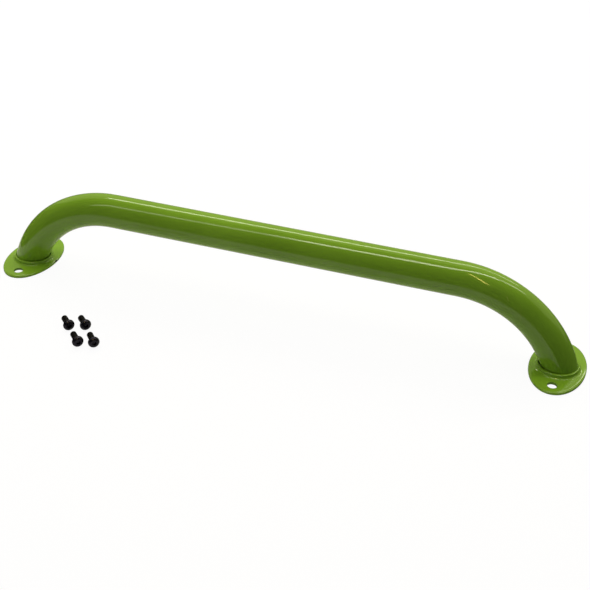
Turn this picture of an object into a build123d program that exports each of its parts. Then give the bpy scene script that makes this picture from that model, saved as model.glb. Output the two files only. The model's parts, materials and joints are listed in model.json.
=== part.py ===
from build123d import *
import math
import os

# Monkey bar rung: a bent grip tube with an oval bolting flange welded at each end, and
# the four screws that came with it, lying loose in front of it. Millimetres.
# Both mounting faces lie in the XY plane, the grip runs along X above them, and the
# origin is midway between the flanges.

# Grip tube
tube_diameter = 31.75
tube_wall = 2.0
grip_height = 72.0  # centreline of the grip above the mounting face
leg_angle = 72.0  # how far each end is bent down from the grip, in degrees
bend_radius = 101.6  # of the centreline
tube_end_height = 1.5  # the sawn ends stop this far above the mounting face

# Flanges
flange_spacing = 525.0  # between the flanges' centres
flange_thickness = 2.5
flange_top_round = 0.9
flange_bottom_round = 0.4
flange_land = 4.45  # flat part of the plate beside the collar, at its narrowest
hole_diameter = 9.0
hole_land = 4.93  # flat part of the plate between the collar and a hole
hole_edge = 6.5  # from a hole to the end of the plate
collar_height = 3.2  # above the plate
collar_wall = 1.75  # at its thinnest
collar_root_round = 1.5
collar_rim_round = 0.7
collar_mouth_round = 0.4
bore_slack = 0.6  # the bore's radius less the tube's
bore_clearance = 0.1  # where the tube is pushed over to one side of the bore

# Welds
weld_recess = 0.2  # the bead stays this far above the mounting face
weld_reach = 1.0  # how far the bead runs in under the tube's wall

# Screws
screw_length = 16.0  # under the head
shank_diameter = 5.9
tip_chamfer = 0.7
head_diameter = 10.5
head_height = 3.3
head_rim = 0.7  # upright part of the head's edge
head_flat = 5.8  # diameter of the flat around the socket
socket_width = 4.0  # across the flats
socket_depth = 2.1
# Where each screw lies: the middle of its head's underside, and the way its tip points,
# in degrees from +X
screw_places = [
    (-167.6, -100.4, 134.0),
    (-153.6, -94.6, 134.0),
    (-147.4, -120.7, 133.5),
    (-133.5, -116.6, 131.0),
]

tube_radius = tube_diameter / 2
bend_centre_height = grip_height - bend_radius
leg_lean = math.radians(leg_angle)
mouth_height = flange_thickness + collar_height


def lean_at(height):
    """Slope of a bent-down end where its centreline is at this height."""
    return min(leg_lean, math.acos((height - bend_centre_height) / bend_radius))


def reach_at(height):
    """How far a bent-down end has come from the straight grip, at this height."""
    lean = lean_at(height)
    bent = bend_radius * math.sin(lean)
    return bent + (bend_centre_height + bend_radius * math.cos(lean) - height) / math.tan(lean)


# The bore leans with the tube. The tube touches its outer side, which leaves a narrow
# crescent on the inner side. The upright collar is centred on the bore's mouth.
bore_radius = tube_radius + bore_slack
bore_shift = bore_slack - bore_clearance  # from the tube's axis, towards the middle
bore_height = mouth_height / 2  # where the bore is lined up with the tube
bore_lean = lean_at(bore_height)
flange_x = flange_spacing / 2
mouth_offset = bore_shift / math.sin(bore_lean) + (mouth_height - bore_height) / math.tan(bore_lean)
bore_x = flange_x + mouth_offset
straight_end = bore_x - reach_at(bore_height)
collar_radius = bore_radius / math.sin(bore_lean) + collar_wall
collar_reach = collar_radius + collar_root_round
flange_width = 2 * (collar_reach + flange_land)
hole_spacing = 2 * (collar_reach + hole_land) + hole_diameter
flange_length = hole_spacing + hole_diameter + 2 * hole_edge

corner_x = straight_end + bend_radius * math.tan(leg_lean / 2)
spare = tube_diameter  # the tube is bent this much too long, then sawn
spare_x = corner_x + (grip_height + spare) / math.tan(leg_lean)

os.makedirs("parts", exist_ok=True)

# One tube, bent down at both ends and sawn level with the flanges
with BuildPart() as bar_tube:
    with BuildLine(Plane.XZ) as tube_path:
        FilletPolyline(
            (-spare_x, -spare),
            (-corner_x, grip_height),
            (corner_x, grip_height),
            (spare_x, -spare),
            radius=bend_radius,
        )
    with BuildSketch(Plane(origin=tube_path.line @ 0, z_dir=tube_path.line % 0)):
        Circle(tube_radius)
        Circle(tube_radius - tube_wall, mode=Mode.SUBTRACT)
    sweep(path=tube_path.line)
    split(bisect_by=Plane.XY.offset(tube_end_height), keep=Keep.TOP)

bar_tube.part.label = "bar_tube"
export_step(bar_tube.part, "parts/bar_tube.step")

for side, side_name in ((-1, "left"), (1, "right")):
    seat = Plane(origin=(side * flange_x, 0, 0))
    # Square across the tube inside the flange, its X axis pointing outwards
    leg_section = Plane(
        origin=(side * bore_x, 0, bore_height),
        x_dir=(side * math.sin(bore_lean), 0, math.cos(bore_lean)),
        z_dir=(-side * math.cos(bore_lean), 0, math.sin(bore_lean)),
    )

    # Oval plate with a bolt hole at each end and a raised collar around the tube
    with BuildPart() as flange:
        with BuildSketch(seat):
            Ellipse(flange_width / 2, flange_length / 2)
        extrude(amount=flange_thickness)
        fillet(flange.faces().sort_by(Axis.Z)[-1].edges(), flange_top_round)
        fillet(flange.faces().sort_by(Axis.Z)[0].edges(), flange_bottom_round)
        with BuildSketch(seat.offset(flange_thickness)):
            Circle(collar_radius)
        extrude(amount=collar_height)
        fillet(flange.edges().filter_by(GeomType.CIRCLE).sort_by(Axis.Z)[0], collar_root_round)
        fillet(flange.faces().sort_by(Axis.Z)[-1].edges(), collar_rim_round)
        with Locations(seat):
            with Locations((0, -hole_spacing / 2, mouth_height), (0, hole_spacing / 2, mouth_height)):
                Hole(hole_diameter / 2, mouth_height)
        with BuildSketch(leg_section):
            with Locations((-bore_shift, 0)):
                Circle(bore_radius)
        extrude(amount=tube_diameter, both=True, mode=Mode.SUBTRACT)
        fillet(flange.faces().sort_by(Axis.Z)[-1].inner_wires()[0].edges(), collar_mouth_round)

    flange.part.label = f"flange_{side_name}"
    export_step(flange.part, f"parts/flange_{side_name}.step")

    # Bead under the tube's end, filling the corner between it and the bore
    with BuildPart() as weld:
        with BuildSketch(leg_section):
            with Locations((-bore_shift, 0)):
                Circle(bore_radius)
            Circle(tube_radius - weld_reach, mode=Mode.SUBTRACT)
        extrude(amount=tube_diameter, both=True)
        split(bisect_by=Plane.XY.offset(weld_recess), keep=Keep.TOP)
        split(bisect_by=Plane.XY.offset(tube_end_height), keep=Keep.BOTTOM)

    weld.part.label = f"weld_{side_name}"
    export_step(weld.part, f"parts/weld_{side_name}.step")

# Button-head screws with a hex socket. Each lies on its head's edge and its tip, so its
# axis dips towards the tip.
head_radius = head_diameter / 2
shank_radius = shank_diameter / 2
dip = math.atan((head_radius - shank_radius) / (screw_length - tip_chamfer))

for number, (screw_x, screw_y, heading) in enumerate(screw_places, start=1):
    turn = math.radians(heading)
    neck = Plane(
        origin=(screw_x, screw_y, head_radius * math.cos(dip)),
        x_dir=(-math.sin(turn), math.cos(turn), 0),
        z_dir=(-math.cos(turn) * math.cos(dip), -math.sin(turn) * math.cos(dip), math.sin(dip)),
    )
    half_section = Plane(origin=neck.origin, x_dir=neck.x_dir, z_dir=-neck.y_dir)

    with BuildPart() as screw:
        with BuildSketch(half_section):
            with BuildLine():
                Polyline(
                    (0, head_height),
                    (0, -screw_length),
                    (shank_radius - tip_chamfer, -screw_length),
                    (shank_radius, tip_chamfer - screw_length),
                    (shank_radius, 0),
                    (head_radius, 0),
                    (head_radius, head_rim),
                )
                # The dome is part of a ball centred on the screw's axis
                rise = head_height - head_rim
                span = head_radius**2 - (head_flat / 2) ** 2
                ball_drop = (span - rise**2) / (2 * rise)  # its centre, below the rim's top
                ball_radius = math.hypot(head_radius, ball_drop)
                RadiusArc((head_radius, head_rim), (head_flat / 2, head_height), -ball_radius)
                Line((head_flat / 2, head_height), (0, head_height))
            make_face()
        revolve(axis=Axis(neck.origin, neck.z_dir))
        with BuildSketch(neck.offset(head_height)):
            RegularPolygon(socket_width / 2, 6, major_radius=False)
        extrude(amount=-socket_depth, mode=Mode.SUBTRACT)

    screw.part.label = f"screw_{number}"
    export_step(screw.part, f"parts/screw_{number}.step")
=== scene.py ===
import json
import math

import bmesh
import bpy
from mathutils import Matrix, Vector


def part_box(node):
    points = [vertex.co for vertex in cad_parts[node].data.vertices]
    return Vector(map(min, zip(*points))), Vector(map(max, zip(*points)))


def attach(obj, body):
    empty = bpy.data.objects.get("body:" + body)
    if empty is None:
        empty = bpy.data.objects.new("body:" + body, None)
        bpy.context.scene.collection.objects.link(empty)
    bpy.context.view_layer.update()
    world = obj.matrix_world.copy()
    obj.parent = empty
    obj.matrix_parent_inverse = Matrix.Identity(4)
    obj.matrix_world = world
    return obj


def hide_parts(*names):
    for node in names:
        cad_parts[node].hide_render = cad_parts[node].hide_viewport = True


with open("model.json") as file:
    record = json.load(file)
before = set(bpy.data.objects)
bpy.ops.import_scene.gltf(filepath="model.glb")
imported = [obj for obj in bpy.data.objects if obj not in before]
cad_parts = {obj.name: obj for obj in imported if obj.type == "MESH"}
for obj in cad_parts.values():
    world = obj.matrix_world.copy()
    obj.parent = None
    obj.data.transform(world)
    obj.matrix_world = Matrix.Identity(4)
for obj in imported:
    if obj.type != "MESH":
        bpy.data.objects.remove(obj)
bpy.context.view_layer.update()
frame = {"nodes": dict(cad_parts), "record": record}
mounts = {mount["name"]: mount for mount in frame["record"]["mounts"]}
boltPattern = mounts["flange_bolts"]["dims"]
print("frame loaded:", len(frame["nodes"]), "CAD nodes")

mm = 0.001
seamGap = 0.02 * mm  # what counts as touching


def hexColour(code):
    # sRGB hex to the linear colour that the shaders want
    channels = [int(code[i:i + 2], 16) / 255 for i in (0, 2, 4)]
    return [c / 12.92 if c <= 0.04045 else ((c + 0.055) / 1.055) ** 2.4 for c in channels] + [1.0]


def addNode(tree, kind, settings=None, links=None):
    # settings are the node's own attributes or input values; links are {input: (node, output)}
    node = tree.nodes.new(kind)
    for name, value in (settings or {}).items():
        if isinstance(name, str) and hasattr(node, name):
            setattr(node, name, value)
        else:
            node.inputs[name].default_value = value
    for name, (source, output) in (links or {}).items():
        tree.links.new(source.outputs[output], node.inputs[name])
    return node


def newMaterial(name):
    made = bpy.data.materials.new(name)
    made.use_nodes = True
    made.node_tree.nodes.clear()
    return made, made.node_tree


def deselectAll():
    if bpy.context.object and bpy.context.object.mode != "OBJECT":
        bpy.ops.object.mode_set(mode="OBJECT")
    bpy.ops.object.select_all(action="DESELECT")


def activate(piece):
    deselectAll()
    piece.select_set(True)
    bpy.context.view_layer.objects.active = piece


def startPiece(name, material):
    # names the primitive just added and gives it its finish
    piece = bpy.context.object
    piece.name = name
    piece.data.name = name
    piece.data.materials.append(material)
    bpy.ops.object.transform_apply(location=True, rotation=True, scale=True)
    return piece


def pick(piece, kind, test):
    # in edit mode, selects the verts, edges or faces that pass the test
    bpy.ops.mesh.select_mode(type=kind)
    bpy.ops.mesh.select_all(action="DESELECT")
    mesh = bmesh.from_edit_mesh(piece.data)
    parts = {"VERT": mesh.verts, "EDGE": mesh.edges, "FACE": mesh.faces}[kind]
    for part in parts:
        if test(part):
            part.select = True
    mesh.select_flush_mode()
    bmesh.update_edit_mesh(piece.data)


def applyModifier(piece, kind, **settings):
    activate(piece)
    modifier = piece.modifiers.new(kind.lower(), kind)
    for name, value in settings.items():
        setattr(modifier, name, value)
    bpy.ops.object.modifier_apply(modifier=modifier.name)


def cutWith(piece, cutter, operation="DIFFERENCE"):
    # the cut faces keep the cutter's own material, or take the piece's if it has none
    if not cutter.data.materials:
        cutter.data.materials.append(piece.data.materials[0])
    applyModifier(piece, "BOOLEAN", object=cutter, operation=operation, solver="EXACT",
                  material_mode="TRANSFER")
    bpy.data.objects.remove(cutter)


def finishShading(piece, angle=40):
    activate(piece)
    bpy.ops.object.shade_smooth_by_angle(angle=math.radians(angle))
    applyModifier(piece, "WEIGHTED_NORMAL", keep_sharp=True, weight=100)


def tidyShell(piece):
    # joins doubled points and turns every face outwards
    activate(piece)
    bpy.ops.object.mode_set(mode="EDIT")
    bpy.ops.mesh.select_all(action="SELECT")
    bpy.ops.mesh.remove_doubles(threshold=0.001 * mm)
    bpy.ops.mesh.normals_make_consistent(inside=False)
    bpy.ops.object.mode_set(mode="OBJECT")


def copyPiece(piece, name):
    copied = piece.copy()
    copied.data = piece.data.copy()
    copied.name = copied.data.name = name
    bpy.context.collection.objects.link(copied)
    return copied


def settle(piece, turn=None, place=None):
    # puts a turn and a place into the mesh, so that the object stays at the origin
    activate(piece)
    matrix = Matrix.Translation(place or (0, 0, 0)) @ (turn or Matrix()).to_4x4()
    piece.matrix_world = matrix
    bpy.ops.object.transform_apply(location=True, rotation=True, scale=True)


powderCoat = {
    "green": "7FAB2C",
    "thinGreen": "84B030",
    "deepGreen": "7BA629",
    "patchSize": 60 * mm,  # how far the film's thickness drifts
    "roughness": 0.085,
    "chipped": 0.6,  # roughness of a mark that goes right through
    "orangePeelSize": 2.6 * mm,  # across one dimple of the cured film
    "orangePeelDepth": 0.006 * mm,
    "raggedSize": 0.8 * mm,  # grain of a mark's broken rim
    "raggedness": 0.9,
    "rimStart": 1.25,  # from the mark's middle, with the grain added in
    "rimEnd": 1.5,
    "steel": "0C0B08",
    # pale yellow of the painted highlights
    "paintedGlintYellow": "A7B640",
}

# marks on the coat: middle, heading and size in millimetres, colour, and how much it shows
# the edge chip is wear; the pale yellow marks are painted highlights, lamp glints on the bend and the left
# leg
coatMarks = {
    "edgeChip": ((-237.4, 0.4, 1.6), 90, (2.1, 1.15, 1.2), "steel", 1.0),
    "bendPaintedGlint": ((213, -14, 70), -38, (3.4, 0.35, 3.0), "paintedGlintYellow", 0.4),
    "bendPaintedGlintLine": ((226, -15.4, 58), -55, (8.0, 0.3, 8.0), "paintedGlintYellow", 0.25),
    "legPaintedGlint": ((-268, -16.5, 14), -60, (5.0, 0.3, 5.0), "paintedGlintYellow", 0.3),
}


def glossPowderCoat():
    # polyester powder coat, sprayed and oven cured: deep even green under a wet-looking skin,
    # whose orange peel makes long reflections waver a little
    coat = powderCoat
    made, tree = newMaterial("gloss_green_powder_coat")
    place = addNode(tree, "ShaderNodeTexCoord")
    drift = addNode(tree, "ShaderNodeTexNoise", {"Scale": 1 / coat["patchSize"], "Detail": 2.0},
                    {"Vector": (place, "Object")})
    tint = addNode(tree, "ShaderNodeValToRGB", None, {"Fac": (drift, "Fac")})
    ramp = tint.color_ramp
    ramp.elements[0].position, ramp.elements[1].position = 0.3, 0.7
    ramp.elements[0].color = hexColour(coat["deepGreen"])
    ramp.elements[1].color = hexColour(coat["thinGreen"])
    ramp.elements.new(0.5).color = hexColour(coat["green"])

    colour, gloss = (tint, "Color"), None
    ragged = addNode(tree, "ShaderNodeTexNoise", {"Scale": 1 / coat["raggedSize"], "Detail": 2.0},
                     {"Vector": (place, "Object")})
    # each mark tints the colour and roughens the gloss: the chip is wear, the pale yellow marks are painted
    # highlights
    for middle, heading, size, colourName, strength in coatMarks.values():
        # full strength inside a long thin egg about the mark, nought outside, a ragged rim between
        egg = addNode(tree, "ShaderNodeMapping",
                      {"vector_type": "TEXTURE", "Location": [c * mm for c in middle],
                       "Rotation": (0, 0, math.radians(heading)), "Scale": [c * mm for c in size]},
                      {"Vector": (place, "Object")})
        reach = addNode(tree, "ShaderNodeVectorMath", {"operation": "LENGTH"}, {0: (egg, "Vector")})
        rim = addNode(tree, "ShaderNodeMath", {"operation": "MULTIPLY_ADD", 1: coat["raggedness"]},
                      {0: (ragged, "Fac"), 2: (reach, "Value")})
        mark = addNode(tree, "ShaderNodeMapRange",
                       {"From Min": coat["rimStart"], "From Max": coat["rimEnd"],
                        "To Min": strength, "To Max": 0.0},
                       {"Value": (rim, 0)})
        mixed = addNode(tree, "ShaderNodeMix", {"data_type": "RGBA", 7: hexColour(coat[colourName])},
                        {0: (mark, "Result"), 6: colour})
        colour = (mixed, 2)
        rough = addNode(tree, "ShaderNodeMath", {"operation": "MAXIMUM", 1: 0.0}, {0: (mark, "Result")})
        if gloss:
            tree.links.new(gloss.outputs[0], rough.inputs[1])
        gloss = rough
    roughness = addNode(tree, "ShaderNodeMapRange",
                        {"To Min": coat["roughness"], "To Max": coat["chipped"]}, {"Value": (gloss, 0)})
    peel = addNode(tree, "ShaderNodeTexNoise", {"Scale": 1 / coat["orangePeelSize"], "Detail": 1.0},
                   {"Vector": (place, "Object")})
    bump = addNode(tree, "ShaderNodeBump", {"Strength": 1.0, "Distance": coat["orangePeelDepth"]},
                   {"Height": (peel, "Fac")})
    shader = addNode(tree, "ShaderNodeBsdfPrincipled", {"IOR": 1.5},
                     {"Base Color": colour, "Roughness": (roughness, "Result"), "Normal": (bump, "Normal")})
    addNode(tree, "ShaderNodeOutputMaterial", None, {"Surface": (shader, "BSDF")})
    return made


weldCoat = {
    "green": "77A029",
    "pooled": "6A9023",
    "roughness": 0.2,
    "spatterSize": 1.1 * mm,
    "spatterDepth": 0.05 * mm,
}


def coatedWeldBead():
    # a gas-shielded weld bead under the same powder coat: the film lies unevenly on it, darker
    # where it pools, and small spatter lifts it
    coat = weldCoat
    made, tree = newMaterial("coated_weld_bead")
    place = addNode(tree, "ShaderNodeTexCoord")
    grain = addNode(tree, "ShaderNodeTexNoise", {"Scale": 1 / coat["spatterSize"], "Detail": 2.0},
                    {"Vector": (place, "Object")})
    tint = addNode(tree, "ShaderNodeMix",
                   {"data_type": "RGBA", 6: hexColour(coat["pooled"]), 7: hexColour(coat["green"])},
                   {0: (grain, "Fac")})
    bump = addNode(tree, "ShaderNodeBump", {"Strength": 1.0, "Distance": coat["spatterDepth"]},
                   {"Height": (grain, "Fac")})
    shader = addNode(tree, "ShaderNodeBsdfPrincipled", {"Roughness": coat["roughness"], "IOR": 1.5},
                     {"Base Color": (tint, 2), "Normal": (bump, "Normal")})
    addNode(tree, "ShaderNodeOutputMaterial", None, {"Surface": (shader, "BSDF")})
    return made


blackening = {
    "head": {"dark": "27252F", "worn": "34323C", "roughness": 0.27, "metallic": 0.9},
    "thread": {"dark": "0A0A0D", "worn": "141317", "roughness": 0.42, "metallic": 0.9},
    "grainSize": 0.5 * mm,
    "grainDepth": 0.01 * mm,
    "smoother": 0.07,  # how far the roughness falls and rises with the grain
    "rougher": 0.09,
}


def blackOxideSteel(region):
    # steel blackened in a hot oxide bath: a dark metal with a cold sheen where the head is
    # smooth, duller and darker on the thread, whose roots hold oil
    steel = blackening[region]
    made, tree = newMaterial(f"black_oxide_{region}")
    place = addNode(tree, "ShaderNodeTexCoord")
    grain = addNode(tree, "ShaderNodeTexNoise", {"Scale": 1 / blackening["grainSize"], "Detail": 3.0},
                    {"Vector": (place, "Object")})
    tint = addNode(tree, "ShaderNodeMix",
                   {"data_type": "RGBA", 6: hexColour(steel["dark"]), 7: hexColour(steel["worn"])},
                   {0: (grain, "Fac")})
    gloss = addNode(tree, "ShaderNodeMapRange",
                    {"To Min": steel["roughness"] - blackening["smoother"],
                     "To Max": steel["roughness"] + blackening["rougher"]},
                    {"Value": (grain, "Fac")})
    bump = addNode(tree, "ShaderNodeBump", {"Strength": 0.6, "Distance": blackening["grainDepth"]},
                   {"Height": (grain, "Fac")})
    shader = addNode(tree, "ShaderNodeBsdfPrincipled", {"Metallic": steel["metallic"]},
                     {"Base Color": (tint, 2), "Roughness": (gloss, "Result"), "Normal": (bump, "Normal")})
    addNode(tree, "ShaderNodeOutputMaterial", None, {"Surface": (shader, "BSDF")})
    return made


# bare steel for the right bore; its dark colour is also painted shade in the slit beside the tube
bareSteelAndShade = {
    "grey": "26241F",
    "rust": "2E2218",
    "roughness": 0.55,
    "blotchSize": 3 * mm,
}


def bareSteelAsPaintedShade():
    # plain steel inside a narrow gap, where the powder hardly reaches: dull brown-grey, dark enough to be
    # painted shade in the slit
    bare = bareSteelAndShade
    made, tree = newMaterial("bare_steel_painted_shade")
    place = addNode(tree, "ShaderNodeTexCoord")
    blotch = addNode(tree, "ShaderNodeTexNoise", {"Scale": 1 / bare["blotchSize"], "Detail": 4.0},
                     {"Vector": (place, "Object")})
    tint = addNode(tree, "ShaderNodeMix",
                   {"data_type": "RGBA", 6: hexColour(bare["grey"]), 7: hexColour(bare["rust"])},
                   {0: (blotch, "Fac")})
    shader = addNode(tree, "ShaderNodeBsdfPrincipled", {"Metallic": 0.5, "Roughness": bare["roughness"]},
                     {"Base Color": (tint, 2)})
    addNode(tree, "ShaderNodeOutputMaterial", None, {"Surface": (shader, "BSDF")})
    return made


coatMaterial = glossPowderCoat()
beadMaterial = coatedWeldBead()
headMaterial = blackOxideSteel("head")
threadMaterial = blackOxideSteel("thread")
boreSteelAndShadeMaterial = bareSteelAsPaintedShade()

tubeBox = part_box("bar_tube")

gripTube = {
    "radius": (tubeBox[1].y - tubeBox[0].y) / 2,
    "wall": 2 * mm,
    "legAngle": math.radians(72),
    "bendRadius": 101.6 * mm,
    "endHeight": tubeBox[0].z,
    "sides": 96,
    "bendSteps": 48,
    "sawnEdge": 0.25 * mm,  # broken edge of each sawn end
}
gripTube["height"] = tubeBox[1].z - gripTube["radius"]
# the sawn end is an ellipse whose outer edge is the tube's greatest reach along X
gripTube["footX"] = (tubeBox[1].x - gripTube["radius"] / math.sin(gripTube["legAngle"])
                     + gripTube["endHeight"] / math.tan(gripTube["legAngle"]))


def modelTube():
    tube = gripTube
    lean = tube["legAngle"]
    cornerX = tube["footX"] - tube["height"] / math.tan(lean)
    straightEnd = cornerX - tube["bendRadius"] * math.tan(lean / 2)
    bendCentre = tube["height"] - tube["bendRadius"]
    deselectAll()
    bpy.ops.mesh.primitive_circle_add(vertices=tube["sides"], radius=tube["radius"],
                                      location=(-straightEnd, 0, tube["height"]),
                                      rotation=(0, math.pi / 2, 0))
    piece = startPiece("grip_tube_coated", coatMaterial)
    bpy.ops.object.mode_set(mode="EDIT")
    bpy.ops.mesh.select_all(action="SELECT")
    bpy.ops.mesh.extrude_edges_move(TRANSFORM_OT_translate={"value": (2 * straightEnd, 0, 0)})
    # each end is spun down round its bend's centre, then runs on straight
    for side in (-1, 1):
        pick(piece, "EDGE", lambda e: all(abs(v.co.x - side * straightEnd) < 0.01 * mm for v in e.verts))
        bpy.ops.mesh.spin(steps=tube["bendSteps"], angle=-side * lean, use_auto_merge=False,
                          center=(side * straightEnd, 0, bendCentre), axis=(0, 1, 0))
        bpy.ops.mesh.extrude_edges_move(TRANSFORM_OT_translate={
            "value": (side * tube["radius"] * math.cos(lean), 0, -tube["radius"] * math.sin(lean))})
    bpy.ops.object.mode_set(mode="OBJECT")
    tidyShell(piece)
    applyModifier(piece, "SOLIDIFY", thickness=tube["wall"], offset=-1)
    bpy.ops.object.mode_set(mode="EDIT")
    bpy.ops.mesh.select_all(action="SELECT")
    bpy.ops.mesh.bisect(plane_co=(0, 0, tube["endHeight"]), plane_no=(0, 0, 1), use_fill=True,
                        clear_inner=True)
    bpy.ops.object.mode_set(mode="OBJECT")
    applyModifier(piece, "BEVEL", width=tube["sawnEdge"], segments=2, limit_method="ANGLE",
                  angle_limit=math.radians(55))
    finishShading(piece)
    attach(piece, "bar")
    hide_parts("bar_tube")
    return piece


modelTube()
print("tube modelled")

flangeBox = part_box("flange_right")

flange = {
    "halfWidth": (flangeBox[1].x - flangeBox[0].x) / 2,
    "halfLength": (flangeBox[1].y - flangeBox[0].y) / 2,
    "height": flangeBox[1].z,  # up to the collar's mouth
    "thickness": 2.5 * mm,
    "topRound": 0.9 * mm,  # the pressed edge falls away this much
    "topReach": 2.4 * mm,  # and starts to, this far in
    "bottomRound": 0.4 * mm,
    "collarWall": 1.75 * mm,
    "rootRound": 2.3 * mm,
    "rimRound": 0.85 * mm,
    "mouthRound": 0.4 * mm,
    "boreSlack": 0.6 * mm,
    "boreClearance": 0.1 * mm,
    "holeSpacing": boltPattern["spacing_y_mm"] * mm,
    "holeRadius": boltPattern["hole_r_mm"] * mm,
    "holeEdge": 0.25 * mm,  # broken edge of each bolt hole
    "holeSides": 48,
    "sides": 128,
    "roundSteps": 4,
}
flange["x"] = (flangeBox[0].x + flangeBox[1].x) / 2
# the bore leans as the tube does half way up the flange
flange["lean"] = min(gripTube["legAngle"], math.acos(
    (flange["height"] / 2 - gripTube["height"] + gripTube["bendRadius"]) / gripTube["bendRadius"]))
flange["boreRadius"] = gripTube["radius"] + flange["boreSlack"]
flange["collarRadius"] = flange["boreRadius"] / math.sin(flange["lean"]) + flange["collarWall"]


def boreRing(radius, height, shift=0.0):
    # where a leaning cylinder of this radius crosses this height: half sizes, middle, height
    lean = flange["lean"]
    middle = (flange["height"] - height) / math.tan(lean) + shift / math.sin(lean)
    return (radius / math.sin(lean), radius, middle, height)


def extrudeRings(piece, rings):
    # the selected edge loop is ring 0; each later ring is extruded, resized and moved into place
    for (oldX, oldY, oldMiddle, oldHeight), (newX, newY, newMiddle, newHeight) in zip(rings, rings[1:]):
        bpy.ops.mesh.extrude_edges_move()
        bpy.ops.transform.resize(value=(newX / oldX, newY / oldY, 1),
                                 center_override=(oldMiddle, 0, oldHeight))
        bpy.ops.transform.translate(value=(newMiddle - oldMiddle, 0, newHeight - oldHeight))


def startRing(name, ring, sides, material, fill="NOTHING"):
    halfX, halfY, middle, height = ring
    deselectAll()
    bpy.ops.mesh.primitive_circle_add(vertices=sides, radius=halfX, fill_type=fill,
                                      location=(middle, 0, height))
    piece = startPiece(name, material)
    bpy.ops.object.mode_set(mode="EDIT")
    bpy.ops.mesh.select_mode(type="EDGE")
    bpy.ops.mesh.select_all(action="SELECT")
    bpy.ops.transform.resize(value=(1, halfY / halfX, 1), center_override=(middle, 0, height))
    return piece


def modelFlange():
    plate = flange
    # every round is stepped through a quarter turn
    turns = [math.radians(90) * step / plate["roundSteps"] for step in range(plate["roundSteps"] + 1)]
    top, face = plate["height"], plate["thickness"]
    mouth, rim, root = plate["mouthRound"], plate["rimRound"], plate["rootRound"]
    upper, reach, lower = plate["topRound"], plate["topReach"], plate["bottomRound"]

    # up the bore, over its mouth and the collar's rim, down to the plate, out and round its edge
    rings = [boreRing(plate["boreRadius"], 0)]
    rings += [boreRing(plate["boreRadius"] + mouth * (1 - math.cos(a)), top - mouth * (1 - math.sin(a)))
              for a in turns]
    collar = plate["collarRadius"]
    radii = [(collar - rim * (1 - math.sin(a)), top - rim * (1 - math.cos(a))) for a in turns]
    radii += [(collar + root * (1 - math.cos(a)), face + root * (1 - math.sin(a))) for a in turns]
    rings += [(radius, radius, 0, height) for radius, height in radii]
    insets = [(reach * (1 - math.sin(a)), face - upper * (1 - math.cos(a))) for a in turns]
    insets += [(lower * (1 - math.cos(a)), lower * (1 - math.sin(a))) for a in turns]
    rings += [(plate["halfWidth"] - inset, plate["halfLength"] - inset, 0, height)
              for inset, height in insets]
    rings.append(rings[0])

    piece = startRing("flange_right_coated", rings[0], plate["sides"], coatMaterial)
    extrudeRings(piece, rings)
    bpy.ops.object.mode_set(mode="OBJECT")
    tidyShell(piece)

    # the bore's wall below its mouth stays bare, and its dark steel is painted shade in the slit
    piece.data.materials.append(boreSteelAndShadeMaterial)
    bpy.ops.object.mode_set(mode="EDIT")

    def onBore(face):
        # no corner stands further out from the bore's leaning axis than its wall
        slant = math.sin(plate["lean"])
        offsets = [((v.co.x - boreRing(1, v.co.z)[2]) * slant, v.co.y) for v in face.verts]
        return all(math.hypot(x, y) < plate["boreRadius"] + seamGap for x, y in offsets)

    pick(piece, "FACE", onBore)
    piece.active_material_index = 1
    bpy.ops.object.material_slot_assign()
    bpy.ops.object.mode_set(mode="OBJECT")

    for side in (-1, 1):
        deselectAll()
        bpy.ops.mesh.primitive_cylinder_add(vertices=plate["holeSides"], radius=plate["holeRadius"],
                                            depth=4 * face,
                                            location=(0, side * plate["holeSpacing"] / 2, face / 2))
        cutWith(piece, bpy.context.object)
    applyModifier(piece, "BEVEL", width=plate["holeEdge"], segments=2, limit_method="ANGLE",
                  angle_limit=math.radians(60))
    finishShading(piece)
    return piece


weld = {
    "recess": 0.25 * mm,  # the bead's crown stays this far above the mounting face
    "reach": 0.95 * mm,  # how far it runs in under the tube's wall
    "rippleStep": 3,  # cross sections to a ripple
    "rippleHeight": 0.16 * mm,
    "sides": 144,
    "crownSteps": 6,
    "crownFullness": 0.6,  # 1 is a plain sine across the bead, less is squarer
    "crownStart": 0.25,  # share of the bead's depth that its edges already have
    "flatEdge": 0.1 * mm,  # no ripple this near the tube's end
}


def modelWeld():
    bead = weld
    outer, inner = flange["boreRadius"] - seamGap, gripTube["radius"] - bead["reach"]
    top, bottom = gripTube["endHeight"] - seamGap, bead["recess"] + bead["rippleHeight"]
    drift = flange["boreSlack"] - flange["boreClearance"]
    rings = []
    for step in range(bead["crownSteps"] + 1):
        across = step / bead["crownSteps"]
        crown = math.sin(math.pi * across) ** bead["crownFullness"]
        depth = (top - bottom) * (bead["crownStart"] + (1 - bead["crownStart"]) * crown)
        rings.append(boreRing(outer + (inner - outer) * across, top - depth, drift * across))
    rings = [boreRing(outer, top)] + rings + [boreRing(inner, top, drift), boreRing(outer, top)]
    piece = startRing("weld_right_bead", rings[0], bead["sides"], beadMaterial)
    extrudeRings(piece, rings)
    bpy.ops.object.mode_set(mode="OBJECT")
    tidyShell(piece)

    # one cross section in each ripple's length is swelled a little, as a torch leaves it
    bpy.ops.object.mode_set(mode="EDIT")
    pitch = 2 * math.pi / bead["sides"]

    def onRipple(vertex):
        turn = math.atan2(vertex.co.y / outer, (vertex.co.x - boreRing(outer, vertex.co.z)[2]) / outer)
        return round(turn / pitch) % bead["rippleStep"] == 0 and vertex.co.z < top - bead["flatEdge"]

    pick(piece, "VERT", onRipple)
    bpy.ops.transform.translate(value=(0, 0, -bead["rippleHeight"]))
    bpy.ops.object.mode_set(mode="OBJECT")
    applyModifier(piece, "SUBSURF", levels=1, render_levels=1)
    finishShading(piece, 60)
    return piece


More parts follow.
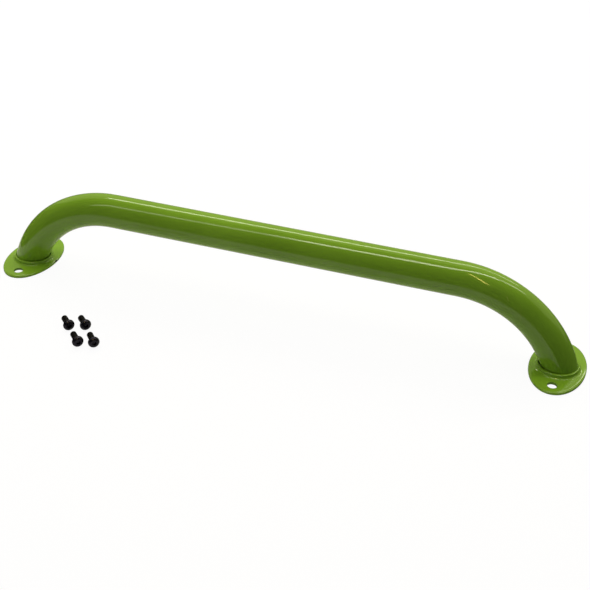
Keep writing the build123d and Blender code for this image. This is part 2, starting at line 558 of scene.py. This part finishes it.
# the pieces round each foot are modelled once, about a flange's middle, then set in place on
# the right and turned half round for the left
feet = [(modelFlange(), "flange", "green_powder_coat"), (modelWeld(), "weld", "coated_weld")]
print("feet modelled")
for rightPiece, cadName, slotName in feet:
    leftPiece = copyPiece(rightPiece, rightPiece.name.replace("right", "left"))
    settle(rightPiece, place=(flange["x"], 0, 0))
    settle(leftPiece, turn=Matrix.Rotation(math.pi, 3, "Z"), place=(-flange["x"], 0, 0))
    for piece, sideName in ((rightPiece, "right"), (leftPiece, "left")):
        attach(piece, "bar")
        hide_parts(f"{cadName}_{sideName}")
    if cadName == "flange":
        # the left bore keeps the green coat, so its slit gets no painted shade
        leftPiece.data.materials[1] = coatMaterial  # the powder did reach into the left bore

screw = {
    "length": 16 * mm,  # under the head
    "threadRadius": 2.95 * mm,
    "threadDepth": 0.28 * mm,
    "pitch": 1 * mm,
    "threadSteps": 28,
    "tipChamfer": 0.35 * mm,
    "blankSlack": 0.1 * mm,  # the bar that the tip is trimmed to clears the thread by this much
    "headRadius": 5.25 * mm,
    "headHeight": 3.3 * mm,
    "headRim": 0.7 * mm,
    "headFlat": 2.9 * mm,  # radius of the flat around the socket
    "headRound": 0.2 * mm,
    "socketWidth": 4 * mm,  # across the flats
    "socketDepth": 2.1 * mm,
    "headSides": 64,
    "domeSteps": 8,
    "crease": 35,  # steeper corners stay sharp, in degrees
    # which way each tip points from +X, and how far the screw has rolled, in degrees
    "lying": {"screw_1": (134, 10), "screw_2": (134, 35), "screw_3": (133.5, 52), "screw_4": (131, 22)},
}


def modelScrew():
    # stands on its tip, with the head's underside at the origin
    part = screw
    outer, inner = part["threadRadius"], part["threadRadius"] - part["threadDepth"]
    turnsUp = round(part["length"] / part["pitch"]) + 3  # two too many below, one above

    # one pitch of the thread's outline, wound up by the screw modifier
    deselectAll()
    bpy.ops.mesh.primitive_plane_add(size=part["pitch"], location=(inner, 0, 0))
    thread = startPiece("thread", threadMaterial)
    bpy.ops.object.mode_set(mode="EDIT")
    bpy.ops.mesh.select_all(action="SELECT")
    bpy.ops.mesh.merge(type="CENTER")
    # each corner's radius and its height as a share of the pitch
    outline = [(inner, 0), (inner, 0.1), (outer, 0.4), (outer, 0.7), (inner, 1)]
    for (oldRadius, oldShare), (newRadius, newShare) in zip(outline, outline[1:]):
        step = (newRadius - oldRadius, 0, (newShare - oldShare) * part["pitch"])
        bpy.ops.mesh.extrude_vertices_move(TRANSFORM_OT_translate={"value": step})
    bpy.ops.object.mode_set(mode="OBJECT")
    settle(thread, place=(0, 0, -part["length"] - 2 * part["pitch"]))
    applyModifier(thread, "SCREW", axis="Z", angle=2 * math.pi, screw_offset=part["pitch"],
                  iterations=turnsUp, steps=part["threadSteps"], render_steps=part["threadSteps"],
                  use_merge_vertices=True, merge_threshold=0.001 * mm)
    bpy.ops.object.mode_set(mode="EDIT")
    for height, lower, upper in ((-part["length"], True, False), (part["headRim"] / 2, False, True)):
        bpy.ops.mesh.select_all(action="SELECT")
        bpy.ops.mesh.bisect(plane_co=(0, 0, height), plane_no=(0, 0, 1), use_fill=True,
                            clear_inner=lower, clear_outer=upper)
    bpy.ops.object.mode_set(mode="OBJECT")
    tidyShell(thread)

    # the tip's chamfer is a cone-ended bar that the thread is kept inside
    tip, wide = outer - part["tipChamfer"], outer + part["blankSlack"]
    blank = startRing("blank", (tip, tip, 0, -part["length"]), part["headSides"], threadMaterial, "NGON")
    extrudeRings(blank, [(tip, tip, 0, -part["length"]),
                         (wide, wide, 0, -part["length"] + part["tipChamfer"]),
                         (wide, wide, 0, part["headRim"])])
    bpy.ops.mesh.edge_face_add()
    bpy.ops.object.mode_set(mode="OBJECT")
    tidyShell(blank)
    cutWith(thread, blank, "INTERSECT")

    # the head: flat underside, short upright rim, dome that is part of a ball, flat at the socket
    rise = part["headHeight"] - part["headRim"]
    ballDrop = (part["headRadius"] ** 2 - part["headFlat"] ** 2 - rise ** 2) / (2 * rise)
    ballRadius = math.hypot(part["headRadius"], ballDrop)
    start = part["headRadius"] - part["headRound"]
    profile = [(start, 0), (part["headRadius"], part["headRound"]), (part["headRadius"], part["headRim"])]
    for step in range(1, part["domeSteps"] + 1):
        height = rise * step / part["domeSteps"]
        profile.append((math.sqrt(ballRadius ** 2 - (ballDrop + height) ** 2), part["headRim"] + height))
    rings = [(radius, radius, 0, height) for radius, height in profile]
    piece = startRing("screw", rings[0], part["headSides"], headMaterial, "NGON")
    extrudeRings(piece, rings)
    bpy.ops.mesh.edge_face_add()
    bpy.ops.object.mode_set(mode="OBJECT")
    tidyShell(piece)
    deselectAll()
    socketRadius = part["socketWidth"] / 2 / math.cos(math.radians(30))
    bpy.ops.mesh.primitive_cylinder_add(vertices=6, radius=socketRadius, depth=2 * part["socketDepth"],
                                        location=(0, 0, part["headHeight"]))
    cutWith(piece, bpy.context.object)
    cutWith(piece, thread, "UNION")
    finishShading(piece, part["crease"])
    return piece


def layScrew(piece, cadName, heading, roll):
    # rolls the screw, lays it on its head's edge and tip, and slides it to its CAD node's place
    drop = screw["headRadius"] - screw["threadRadius"]
    dip = math.atan(drop / (screw["length"] - screw["tipChamfer"]))
    turn = (Matrix.Rotation(math.radians(heading), 3, "Z") @ Matrix.Rotation(-math.pi / 2 + dip, 3, "Y")
            @ Matrix.Rotation(math.radians(roll), 3, "Z"))
    settle(piece, turn=turn)
    corners = [Vector(corner) for corner in piece.bound_box]
    low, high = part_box(cadName)
    middle = [(min(c[i] for c in corners) + max(c[i] for c in corners)) / 2 for i in range(3)]
    slide = [(low[i] + high[i]) / 2 - middle[i] for i in range(2)] + [low.z - min(c.z for c in corners)]
    settle(piece, place=slide)
    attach(piece, cadName)
    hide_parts(cadName)


standingScrew = modelScrew()
for cadName, (heading, roll) in screw["lying"].items():
    layScrew(copyPiece(standingScrew, f"{cadName}_threaded"), cadName, heading, roll)
bpy.data.objects.remove(standingScrew)
print("screws modelled")

# the room, in metres: the bar lies across it, the camera stands in front
studio = {
    "paperReach": 6,  # how far the white paper runs each way
    "paperDrop": 0.3 * mm,
    "paperAlbedo": 0.08,
    "paperGlow": 0.93,
    "tableFront": -0.26,
    "tableBack": 0.7,
    "tableRight": 0.28,
    "tableLeft": -0.34,
    "tableDrop": 0.8 * mm,
    "tableAlbedo": 0.68,
    "ceiling": 2.0,
    "stripHeading": math.radians(38.2),  # the ceiling lights run askew to the bar
    "stripRadiance": 8.5,
    "stripColour": "FFFAE4",
    "roomInGloss": ("F3F9FF", 0.03),  # colour and strength of what no lamp covers
    "roomInColour": ("F9FCFF", 0.13),
    "roomBehind": ("FFFFFF", 1.0),
}


def stagePlane(name, left, right, front, back, drop, material):
    # a flat sheet just below the bar's feet, cut to its four edges
    deselectAll()
    bpy.ops.mesh.primitive_plane_add(size=2 * studio["paperReach"], location=(0, 0, -drop))
    plane = startPiece(name, material)
    bpy.ops.object.mode_set(mode="EDIT")
    for place, outwards in (((left, 0, 0), (-1, 0, 0)), ((right, 0, 0), (1, 0, 0)),
                            ((0, front, 0), (0, -1, 0)), ((0, back, 0), (0, 1, 0))):
        bpy.ops.mesh.select_all(action="SELECT")
        bpy.ops.mesh.bisect(plane_co=place, plane_no=outwards, clear_outer=True)
    bpy.ops.object.mode_set(mode="OBJECT")
    return plane


def paleTop(name, albedo, glow):
    # matt and a little cold; the paper also glows as if lit from below
    made, tree = newMaterial(name)
    shader = addNode(tree, "ShaderNodeBsdfPrincipled",
                     {"Base Color": (albedo, albedo, albedo * 1.08, 1), "Roughness": 0.9,
                      "Specular IOR Level": 0.0, "Emission Color": (1, 1, 1, 1), "Emission Strength": glow})
    addNode(tree, "ShaderNodeOutputMaterial", None, {"Surface": (shader, "BSDF")})
    return made


# the camera sees white paper; the bar's gloss and underside see a grey table with edges
reach = studio["paperReach"]
paper = stagePlane("paper", -reach, reach, -reach, reach, studio["paperDrop"],
                   paleTop("white_paper", studio["paperAlbedo"], studio["paperGlow"]))
paper.visible_diffuse = paper.visible_glossy = paper.visible_shadow = False
table = stagePlane("table", studio["tableLeft"], studio["tableRight"], studio["tableFront"],
                   studio["tableBack"], studio["tableDrop"],
                   paleTop("grey_table", studio["tableAlbedo"], 0.0))
table.visible_camera = False


def areaLight(name, size, place, aim, radiance, colour):
    # its power follows from how bright the panel looks
    data = bpy.data.lights.new(name, "AREA")
    data.shape = "RECTANGLE"
    data.size, data.size_y = size
    data.energy = radiance * math.pi * size[0] * size[1]
    data.color = hexColour(colour)[:3]
    lamp = bpy.data.objects.new(name, data)
    bpy.context.collection.objects.link(lamp)
    lamp.location = place
    lamp.rotation_euler = (Vector(aim) - Vector(place)).to_track_quat("-Z", "Y").to_euler()
    lamp.visible_camera = False
    return lamp


def ceilingStrip(name, start, heading, length, width, radiance, colour):
    # a long lamp on the ceiling, from its start along its heading
    run = Vector((math.cos(heading), math.sin(heading), 0))
    middle = Vector((start[0], start[1], studio["ceiling"])) + run * length / 2
    strip = areaLight(name, (length, width), middle, middle - Vector((0, 0, 1)), radiance, colour)
    strip.rotation_euler = (0, 0, heading)
    return strip


# each run: where it begins, its width, then its lamps' distances along it and how bright they are
lampRuns = {
    "strip_back": ((-1.35, 1.11), 0.27, ((0, 2.08, 1.15), (2.14, 4.0, 0.75))),
    "strip_front": ((-0.58, -0.5), 0.22, ((-2.0, -0.02, 0.33), (0, 1.88, 1.05), (1.95, 3.2, 0.6))),
}
for name, (start, width, lamps) in lampRuns.items():
    heading = studio["stripHeading"]
    for number, (near, far, share) in enumerate(lamps, start=1):
        lampStart = (start[0] + near * math.cos(heading), start[1] + near * math.sin(heading))
        ceilingStrip(f"{name}_{number}", lampStart, heading, far - near, width,
                     studio["stripRadiance"] * share, studio["stripColour"])

# an old warm tube makes the thin yellow streaks, without tinting the bar
warmTube = {"start": (0.168, -0.517), "heading": -69.5, "length": 1.55, "width": 0.05, "radiance": 24.0}
glint = ceilingStrip("warm_tube", warmTube["start"], math.radians(warmTube["heading"]), warmTube["length"],
                     warmTube["width"], warmTube["radiance"], "FFE27A")
glint.visible_diffuse = False

# big soft panels, all facing the bar: size, place, radiance, colour; the fills don't mirror in it
softPanels = {
    "back_wall": ((7, 1.6), (0, 1.24, 1.35), 0.504, "FFFCC8"),
    "back_wall_low": ((7, 0.86), (0, 1.95, 0.35), 0.315, "FFFCC8"),
    "fill": ((3, 2), (-0.8, 0.9, 2.1), 0.98, "FFEFDA"),
    "side_fill": ((1.0, 0.6), (-1.2, -0.1, 0.18), 0.8, "FFF4E4"),
}
for name, (size, place, radiance, colour) in softPanels.items():
    panel = areaLight(name, size, place, (0, 0, 0), radiance, colour)
    panel.visible_glossy = "fill" not in name


def lightRoom():
    # what lies beyond the lamps: dark in reflections, dim as light, white behind everything
    world = bpy.data.worlds.new("room")
    bpy.context.scene.world = world
    world.use_nodes = True
    tree = world.node_tree
    tree.nodes.clear()
    ray = addNode(tree, "ShaderNodeLightPath")
    dark, dim, pale = [
        addNode(tree, "ShaderNodeBackground", {"Color": hexColour(colour), "Strength": strength})
        for colour, strength in (studio["roomInGloss"], studio["roomInColour"], studio["roomBehind"])]
    room = addNode(tree, "ShaderNodeMixShader", None,
                   {0: (ray, "Is Glossy Ray"), 1: (dim, 0), 2: (dark, 0)})
    seen = addNode(tree, "ShaderNodeMixShader", None,
                   {0: (ray, "Is Camera Ray"), 1: (room, 0), 2: (pale, 0)})
    addNode(tree, "ShaderNodeOutputWorld", None, {"Surface": (seen, 0)})


lightRoom()
print("table and lights placed")

cameraSetup = {
    "lens": 71.23,
    "azimuth": 19.056,  # degrees; 0 looks along +Y, with +X to the right
    "elevation": 32.554,
    "roll": 1.161,
    "distance": 1.0886,
    "aim": (0.016, 0.0, 0.0199),
}


def placeCamera():
    setup = cameraSetup
    azimuth, elevation = math.radians(setup["azimuth"]), math.radians(setup["elevation"])
    back = Vector((math.sin(azimuth) * math.cos(elevation), -math.cos(azimuth) * math.cos(elevation),
                   math.sin(elevation)))
    level = (-back).to_track_quat("-Z", "Y").to_matrix().to_4x4()
    data = bpy.data.cameras.new("camera")
    data.lens = setup["lens"]
    camera = bpy.data.objects.new("camera", data)
    bpy.context.collection.objects.link(camera)
    camera.matrix_world = (Matrix.Translation(Vector(setup["aim"]) + back * setup["distance"])
                           @ level @ Matrix.Rotation(math.radians(setup["roll"]), 4, "Z"))
    bpy.context.scene.camera = camera


placeCamera()
bpy.context.scene.view_settings.view_transform = "Standard"
